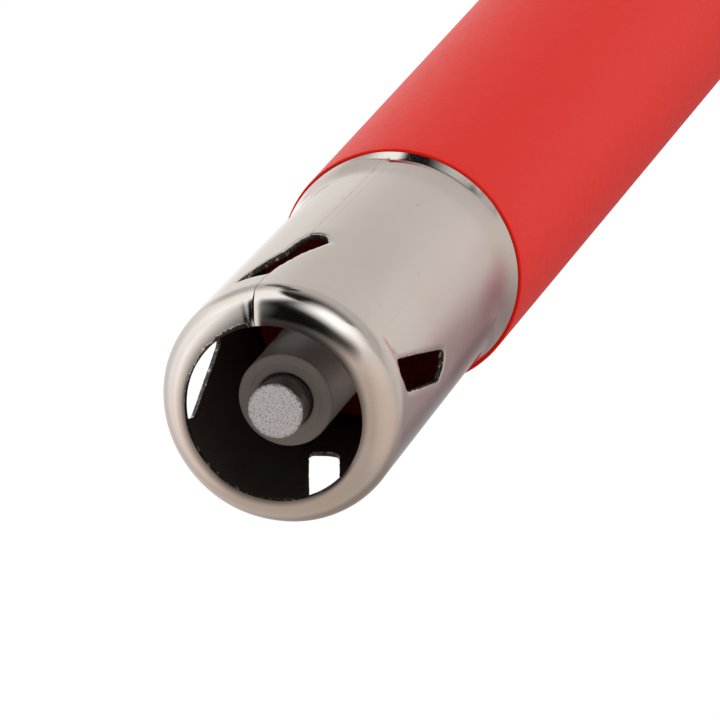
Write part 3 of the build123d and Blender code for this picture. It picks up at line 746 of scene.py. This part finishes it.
    # cut faces: rows across the sheet's thickness, pushed out of the sheet's plane unevenly
    rim_ids = sorted({p for e in border for p in e})
    pos = {p: i for i, p in enumerate(rim_ids)}
    ids = np.array(rim_ids)
    outward = np.zeros((len(ids), 2))
    for p in rim_ids:
        a, b = prv.get(p), nxt.get(p, [None])[0]
        if a is None or b is None:
            continue
        tdir = P[b] - P[a]
        ln = np.linalg.norm(tdir)
        if ln > 1e-9:
            outward[pos[p]] = np.array([tdir[1], -tdir[0]]) / ln
    on_slot = near_slot[ids] < 0.02
    on_front = P[ids, 0] < 0.01
    depths = [0.05, 0.14, 0.24, 0.34, 0.42]
    rows_start = []
    base = 2 * n
    for depth in depths:
        push = np.where(on_slot, 0.03 + 0.035 * RNG.random(len(ids)) + 0.02 * (depth > 0.2), 0.0)
        push = np.where(on_front, 0.02 + 0.02 * RNG.random(len(ids)), push)
        S = P[ids, 0] + outward[:, 0] * push
        Y = P[ids, 1] + outward[:, 1] * push
        row = place(S, Y, np.full(len(ids), depth), near_slot[ids])
        verts.append(row)
        rows_start.append(base)
        base += len(ids)
    chain = [lambda p: p] + [(lambda p, b=b0: b + pos[p]) for b0 in rows_start] + [lambda p: n + p]
    for p, q in border:
        for u, w in zip(chain[:-1], chain[1:]):
            faces.append((u(q), u(p), w(p), w(q)))
            mat.append(2)
    V = np.vstack(verts)
    obj = new_object("nose_shell", V, faces, [MATS["nickel"], MATS["inside"], MATS["cut"]], mat)
    sharpen(obj, 38)
    # chatter marks inside the lip, from the seam down the -Y side, and painted pink reflection and painted shade along
    # creases near the +Y slot and collar
    at_t = np.interp(P[:, 0], PS, PT)
    at_phi = (np.degrees(Y_angle(P)) + 180.0) % 360.0 - 180.0
    edge = np.interp(at_phi, [-100, -60, -20], [0.05, 0.17, 0.42])
    band = np.clip((edge + 0.26 - P[:, 0]) / 0.52, 0, 1)
    scuff = band * np.interp(at_phi, [-180, -112, -92, -60, -30, -17, -14.5, 180], [0.0, 0.0, 0.45, 0.72, 0.80, 0.80, 0.0, 0.0])
    painted_reflection = np.zeros(n)
    flat = np.column_stack([P[:, 0], np.radians(at_phi) * R0])
    for (t0, p0, t1, p1, half, k) in PAINTED_REFLECTION_CREASES:
        a = np.array([float(s_of_t(t0)), math.radians(p0) * R0])
        b = np.array([float(s_of_t(t1)), math.radians(p1) * R0])
        w = np.clip(((flat - a) @ (b - a)) / ((b - a) @ (b - a)), 0, 1)
        dist = np.hypot(*(flat - (a + w[:, None] * (b - a))).T)
        painted_reflection = np.maximum(painted_reflection, k * np.exp(-(dist / half) ** 2))
    rest = np.zeros(len(ids) * len(depths))
    set_attr(obj, "scuff", np.concatenate([scuff, scuff, rest]))
    # the painted reflection and shade go to the material as a point attribute
    set_attr(obj, "painted_reflection", np.concatenate([painted_reflection, painted_reflection, rest]))
    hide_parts("nose_tube")
    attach(obj, "barrel")
    return obj


nose = build_nose()


# ------------------------------------------------------------------ barrel
def build_barrel():
    ring = (
        [(24.7, 4.1), (24.7, 8.65), (24.78, 8.73), (25.4, 9.1), (25.6, 9.15)]
        + [(t, 9.15) for t in (28, 32, 36)] + [(37.42, 9.15), (37.5, 9.2)]
        + [(37.5, 9.7), (37.5, 10.26)] + [(37.5 + 0.22 * (1 - math.cos(math.radians(a))), 10.32 + 0.18 * math.sin(math.radians(a))) for a in np.linspace(0, 90, 13)]
        + [(t, 10.5) for t in np.arange(40, 151, 3.0)]
        + [(153.2, 10.5)] + [(153.2 + 0.3 * math.sin(math.radians(a)), 10.2 + 0.3 * math.cos(math.radians(a))) for a in (30, 60, 90)]
        + [(153.5, 9.05), (153.4, 8.95), (150.4, 8.95), (150.1, 9.3), (148.9, 9.3), (148.6, 8.95), (145.5, 8.95), (145.5, 8.2)]
        + [(t, 8.2) for t in (120, 90, 60, 35)] + [(27.7, 8.2), (27.7, 4.1)]
    )
    n_out = len(ring)
    # the faces inside the nose take the red with painted shade
    hidden = lambda k: 1 if k <= 9 or k >= n_out - 7 else 0
    obj = lathe("barrel_shell", ring, [MATS["red"], MATS["red_shaded"]], seg=256, sharp=35, mat_of=hidden)
    # passage for the earth strip through the front wall
    a = math.radians(40.0)
    cutter = bpy.data.meshes.new("cut")
    cx, cr = (NOSE_X - 26.2), 7.6
    pts = []
    for dx in (-3.0, 3.0):
        for w in (-2.25, 2.25):
            for h in (-0.4, 0.4):
                y = (cr + h) * math.sin(a) + w * math.cos(a)
                z = (cr + h) * math.cos(a) - w * math.sin(a)
                pts.append(((cx + dx) * MM, y * MM, z * MM))
    cutter.from_pydata(pts, [], [(0, 1, 3, 2), (4, 6, 7, 5), (0, 4, 5, 1), (2, 3, 7, 6), (0, 2, 6, 4), (1, 5, 7, 3)])
    cut = bpy.data.objects.new("cut", cutter)
    bpy.context.scene.collection.objects.link(cut)
    mod = obj.modifiers.new("passage", "BOOLEAN")
    mod.operation, mod.solver, mod.object = "DIFFERENCE", "EXACT", cut
    apply_modifiers(obj)
    bpy.data.objects.remove(cut)
    sharpen(obj, 35)
    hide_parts("body_tube")
    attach(obj, "barrel")
    return obj


barrel = build_barrel()


# ------------------------------------------------------------------ insulator and electrode
def build_insulator():
    ring = (
        [(6.0, 2.33), (3.55, 2.33), (3.42, 2.40), (3.36, 2.52), (3.35, 2.75), (3.39, 2.98), (3.38, 3.10)]
        + [(3.36, 3.3), (3.37, 3.5)] + [(3.38 + 0.20 * (1 - math.cos(math.radians(a))), 3.76 + 0.19 * math.sin(math.radians(a))) for a in np.linspace(0, 90, 10)]
        + [(t, 3.95) for t in (8, 12, 16, 20, 24)] + [(27.65, 3.95), (27.75, 4.05)]
        + [(27.75, 7.8), (27.84, 8.02), (28.05, 8.1)] + [(t, 8.1) for t in (35, 45, 55, 65)] + [(71.9, 8.1), (72.0, 8.0)]
        + [(72.0, 6.05), (71.9, 5.95), (64.0, 5.95), (64.0, 4.1), (36.0, 4.1), (36.0, 2.33), (20.0, 2.33)]
    )

    def groove(t, r, a):
        d = abs((math.degrees(a) - 40.0 + 180) % 360 - 180)
        half = math.degrees(math.atan2(2.2, 7.6))
        if r > 7.3 and d < half and t > 27.0:
            return t, 7.3 / math.cos(math.radians(d)) * math.cos(math.radians(0))
        return t, r

    obj = lathe("insulator_body", ring, [MATS["nylon"]], seg=360, shape=groove, sharp=40)
    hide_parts("insulator")
    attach(obj, "barrel")
    return obj


insulator = build_insulator()


def build_electrode():
    def worn(t, r, a):
        if t < 1.0 and r > 2.1:
            k = 0.030 * math.sin(5 * a + 1) + 0.025 * math.sin(11 * a + 2) + 0.02 * math.sin(23 * a)
            return t + max(0.0, k), r - max(0.0, -k) * 0.8
        return t, r

    ring = (
        [(0.52, 0.0), (0.50, 0.5), (0.51, 1.0), (0.50, 1.5), (0.50, 2.03), (0.515, 2.17), (0.55, 2.25), (0.61, 2.305), (0.70, 2.33), (0.85, 2.34), (1.25, 2.34), (1.42, 2.31), (1.55, 2.255)]
        + [(t, 2.25) for t in (1.65, 2.2, 3.0, 3.6, 6, 12, 20, 28)] + [(35.9, 2.25), (36.0, 2.35), (36.0, 3.5), (36.1, 3.6), (37.3, 3.6), (37.4, 3.5), (37.4, 0.0)]
    )
    obj = lathe("electrode_pin", ring, [MATS["pin"]], seg=128, shape=worn, sharp=50, closed=False)
    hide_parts("electrode_rod")
    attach(obj, "barrel")
    return obj


electrode = build_electrode()


# ------------------------------------------------------------------ button
def build_button():
    ring = [(141.0, 6.8), (141.0, 7.75), (141.1, 7.93), (141.3, 8.0), (145.1, 8.0), (145.3, 7.93), (145.4, 7.75), (145.4, 7.62), (145.5, 7.6)]
    ring += [(150, 7.6), (160, 7.6), (168, 7.6)]
    for t0 in (173.6, 176.3, 179.0):
        ring += [(t0, 7.6)] + [(t0 + 0.25 + 0.55 * (1 - math.cos(math.radians(q))), 7.6 - 0.38 * math.sin(math.radians(q))) for q in np.linspace(0, 180, 9)] + [(t0 + 1.6, 7.6)]
    ring += [(184.6, 7.6)]
    ring += [(184.6 + 2.4 * math.sin(math.radians(q)), 5.2 + 2.4 * math.cos(math.radians(q))) for q in np.linspace(6, 84, 14)]
    ring += [(187.0, 5.1), (186.98, 4.9)] + [(186.98 - 0.45 * (1 - (r / 4.9) ** 2), r) for r in (4.2, 3.4, 2.5, 1.5, 0.7, 0.0)]
    ring += [(182.6, 0.0), (182.6, 4.4), (181.8, 5.2), (160, 5.2), (150.0, 5.2), (150.0, 6.8)]
    obj = lathe("button_cap", ring, [MATS["black"]], seg=192, sharp=40, closed=True)
    # cross hole for the pin
    bpy.ops.mesh.primitive_cylinder_add(vertices=48, radius=1.01 * MM, depth=24 * MM, location=((NOSE_X - 147.0) * MM, 0, 0))
    cut = bpy.context.object
    mod = obj.modifiers.new("hole", "BOOLEAN")
    mod.operation, mod.solver, mod.object = "DIFFERENCE", "EXACT", cut
    apply_modifiers(obj)
    bpy.data.objects.remove(cut)
    sharpen(obj, 40)
    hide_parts("push_button")
    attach(obj, "plunger")
    return obj


button = build_button()


# ------------------------------------------------------------------ springs
def build_spring(name, node, t0, t1, mean_r, wire, turns, body):
    """A compression spring with its end coils closed, as a tube round a helix. t0 is the front end."""
    w = wire / 2
    closed = 0.9
    total = turns + 2 * closed
    steps = int(total * 48)
    ang = np.linspace(0, total, steps + 1)
    lead = np.zeros_like(ang)
    free = (t1 - t0) - wire - 2 * closed * wire * 1.02
    lead = np.where(ang < closed, ang * wire * 1.02, np.where(ang > closed + turns, closed * wire * 1.02 + free + (ang - closed - turns) * wire * 1.02, closed * wire * 1.02 + (ang - closed) / turns * free))
    # soften the change of pitch
    kern = np.ones(15) / 15
    pad = np.pad(lead, 7, mode="edge")
    soft = np.convolve(pad, kern, mode="valid")
    lead[8:-8] = soft[8:-8]
    t = t0 + w + lead
    th = 2 * math.pi * ang
    C = np.column_stack([NOSE_X - t, mean_r * np.sin(th), mean_r * np.cos(th)])
    T = np.gradient(C, axis=0)
    T /= np.linalg.norm(T, axis=1, keepdims=True)
    Rd = np.column_stack([np.zeros_like(th), np.sin(th), np.cos(th)])
    B = np.cross(T, Rd)
    B /= np.linalg.norm(B, axis=1, keepdims=True)
    N = np.cross(B, T)
    m = 16
    verts, faces = [], []
    for i in range(len(C)):
        for j in range(m):
            q = 2 * math.pi * j / m
            p = C[i] + w * (math.cos(q) * N[i] + math.sin(q) * B[i])
            # ground flat at both ends
            p[0] = min(max(p[0], NOSE_X - t1), NOSE_X - t0)
            verts.append(p * MM)
    for i in range(len(C) - 1):
        for j in range(m):
            k = (j + 1) % m
            faces.append((i * m + j, i * m + k, (i + 1) * m + k, (i + 1) * m + j))
    faces.append(tuple(range(m))[::-1])
    last = (len(C) - 1) * m
    faces.append(tuple(range(last, last + m)))
    obj = new_object(name, verts, faces, [MATS["spring"]])
    fix_normals(obj)
    sharpen(obj, 50)
    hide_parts(node)
    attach(obj, body)
    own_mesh(obj)
    return obj


build_spring("return_coil", "return_spring", 74.05, 88.65, 6.45, 0.8, 2.7, "barrel")
build_spring("impact_coil", "impact_spring", 106.05, 139.95, 3.35, 1.1, 8.0, "striker")


# ------------------------------------------------------------------ carried-over pieces
FINISH = {
    "contact_disc": "brass", "centre_shim": "brass", "ground_strip": "brass", "piezo_front": "ceramic", "piezo_rear": "ceramic",
    "crystal_sleeve": "clear", "anvil": "steel", "guide_tube": "steel", "hammer": "steel", "hammer_pin": "steel",
    "thrust_washer": "steel", "push_sleeve": "steel", "button_pin": "steel", "spring_seat": "white", "end_collar": "black",
}
for node, key in FINISH.items():
    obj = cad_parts[node]
    obj.data.materials.clear()
    obj.data.materials.append(MATS[key])


# ------------------------------------------------------------------ floor and light
def build_floor():
    me = bpy.data.meshes.new("floor")
    s, z = 12.0, FLOOR_Z - 0.00002
    me.from_pydata([(-s, -s, z), (s, -s, z), (s, s, z), (-s, s, z)], [], [(0, 1, 2, 3)])
    obj = bpy.data.objects.new("floor", me)
    bpy.context.scene.collection.objects.link(obj)
    m = Mat("floor_white")
    m.set(color=(0.80, 0.80, 0.80), rough=0.9, spec=0.0)
    glow = m.nt.nodes.new("ShaderNodeEmission")
    glow.inputs["Color"].default_value = (1.0, 1.0, 1.0, 1.0)
    glow.inputs["Strength"].default_value = 1.02
    path = m.nt.nodes.new("ShaderNodeLightPath")
    mix = m.nt.nodes.new("ShaderNodeMixShader")
    m.link(path.outputs["Is Camera Ray"], mix.inputs[0])
    m.link(m.bsdf.outputs[0], mix.inputs[1])
    m.link(glow.outputs[0], mix.inputs[2])
    m.link(mix.outputs[0], m.out.inputs["Surface"])
    obj.data.materials.append(m.mat)
    # the sweep lights the object as part of the room below
    obj.visible_glossy = obj.visible_transmission = False


build_floor()


def direction(az, el):
    a, e = math.radians(az), math.radians(el)
    return Vector((math.cos(e) * math.cos(a), math.cos(e) * math.sin(a), math.sin(e)))


# studio light: fills (az, el, inner, outer degrees, level), unlit gaps (az, el, inner, outer, depth),
# soft panels (az, el, half width, half height, soft edge, level)
FILLS = [(77, -15, 0, 44, 0.12), (-147, -20, 0, 15, 0.36)]
GAPS = [
    (11, 50, 25.5, 46, 0.92), (-34, 42, 4, 37, 0.99), (149, 66, 25, 30.5, 0.99), (-36, 0, 28, 60, 0.93), (-3, 35, 12, 24, 0.80),
    (166, -45, 0, 45, 0.51), (128, 35, 11, 18.5, 0.99), (168, -20, 2, 15, 0.15),
]
# unlit strips in front of the panels
STRIPS = [(-156, 34, 1.5, 6.0, 0.85), (-159, 43, 2.0, 6.5, 0.90), (-163, 53, 2.5, 8, 0.92), (-177, -21, 4, 13, 0.36)]
PANELS = [(59, 58.6, 0.31, 0.35, 0.29, 1.13), (167, 39.3, 1.62, 0.44, 0.36, 0.41), (-66.6, 3.3, 0.20, 0.90, 0.94, 1.4)]
EXPOSURE = 1.66


def build_world():
    world = bpy.data.worlds.new("studio")
    bpy.context.scene.world = world
    world.use_nodes = True
    nt = world.node_tree
    nt.nodes.clear()
    out = nt.nodes.new("ShaderNodeOutputWorld")
    bg = nt.nodes.new("ShaderNodeBackground")
    plain = nt.nodes.new("ShaderNodeBackground")
    plain.inputs["Color"].default_value = (1, 1, 1, 1)
    plain.inputs["Strength"].default_value = 1.02
    coord = nt.nodes.new("ShaderNodeTexCoord")

    def dot(vec):
        n = nt.nodes.new("ShaderNodeVectorMath")
        n.operation = "DOT_PRODUCT"
        nt.links.new(coord.outputs["Generated"], n.inputs[0])
        n.inputs[1].default_value = vec
        return n.outputs["Value"]

    def ramp(x, a, b, lo, hi):
        m = nt.nodes.new("ShaderNodeMapRange")
        m.interpolation_type = "SMOOTHSTEP"
        nt.links.new(x, m.inputs["Value"])
        m.inputs["From Min"].default_value, m.inputs["From Max"].default_value = a, b
        m.inputs["To Min"].default_value, m.inputs["To Max"].default_value = lo, hi
        return m.outputs[0]

    def op(kind, a, b):
        m = nt.nodes.new("ShaderNodeMath")
        m.operation = kind
        for s, value in zip(m.inputs, (a, b)):
            if isinstance(value, (int, float)):
                s.default_value = value
            else:
                nt.links.new(value, s)
        return m.outputs[0]

    def lobe(az, el, inner, outer, lo, hi):
        return ramp(dot(direction(az, el)), math.cos(math.radians(outer)), math.cos(math.radians(inner)), lo, hi)

    def panel(az, el, half_w, half_h, soft):
        """A soft-edged rectangle in the sky, its sizes at distance 1."""
        c = direction(az, el)
        side = Vector((-math.sin(math.radians(az)), math.cos(math.radians(az)), 0.0))
        up = c.cross(side)
        depth = op("MAXIMUM", dot(c), 0.05)
        x = op("ABSOLUTE", op("DIVIDE", dot(side), depth), 0.0)
        y = op("ABSOLUTE", op("DIVIDE", dot(up), depth), 0.0)
        fx = ramp(x, half_w - soft, half_w + soft, 1.0, 0.0)
        fy = ramp(y, half_h - soft, half_h + soft, 1.0, 0.0)
        return op("MULTIPLY", op("MULTIPLY", fx, fy), op("GREATER_THAN", dot(c), 0.05))

    # the room, darker behind the camera's left shoulder and overhead
    height = dot((0.0, 0.0, 1.0))
    level = op("ADD", op("MULTIPLY", height, 0.10), 0.492)
    level = op("ADD", level, op("MULTIPLY", op("MAXIMUM", height, 0.0), 0.281))
    level = op("ADD", level, dot((-0.054, -0.044, 0.0)))
    for lamp in FILLS:
        level = op("ADD", level, lobe(*lamp[:4], 0.0, lamp[4]))
    for gap in GAPS:
        level = op("MULTIPLY", level, lobe(*gap[:4], 1.0, 1.0 - gap[4]))
    for az, el, half_w, half_h, soft, bright in PANELS:
        m = panel(az, el, half_w, half_h, soft)
        level = op("ADD", op("MULTIPLY", level, op("SUBTRACT", 1.0, m)), op("MULTIPLY", m, float(bright)))
    for gap in STRIPS:
        level = op("MULTIPLY", level, lobe(*gap[:4], 1.0, 1.0 - gap[4]))
    level = op("MULTIPLY", op("MAXIMUM", op("MINIMUM", level, 1.35), 0.004), EXPOSURE)
    nt.links.new(level, bg.inputs["Strength"])

    def blend(f, a, b):
        m = nt.nodes.new("ShaderNodeMix")
        m.data_type = "RGBA"
        nt.links.new(f, m.inputs[0])
        for sck, value in ((m.inputs[6], a), (m.inputs[7], b)):
            if isinstance(value, tuple):
                sck.default_value = (*value, 1.0)
            else:
                nt.links.new(value, sck)
        return m.outputs[2]

    warm = ramp(dot(direction(45, -60)), -0.42, 0.57, 0.0, 1.0)
    tint = blend(warm, (1.0, 1.03, 1.06), (1.0, 0.87, 0.81))
    tint = blend(lobe(180, 15, 25, 75, 0.0, 1.0), tint, (1.0, 0.972, 0.955))
    tint = blend(lobe(168, -20, 4, 20, 0.0, 1.0), tint, (1.0, 0.80, 0.82))
    nt.links.new(tint, bg.inputs["Color"])
    path = nt.nodes.new("ShaderNodeLightPath")
    mix = nt.nodes.new("ShaderNodeMixShader")
    nt.links.new(path.outputs["Is Camera Ray"], mix.inputs[0])
    nt.links.new(bg.outputs[0], mix.inputs[1])
    nt.links.new(plain.outputs[0], mix.inputs[2])
    nt.links.new(mix.outputs[0], out.inputs["Surface"])


build_world()


bpy.context.scene.view_settings.view_transform = "Standard"
bpy.context.scene.view_settings.look = "None"

# ------------------------------------------------------------------ the end
bpy.context.view_layer.update()
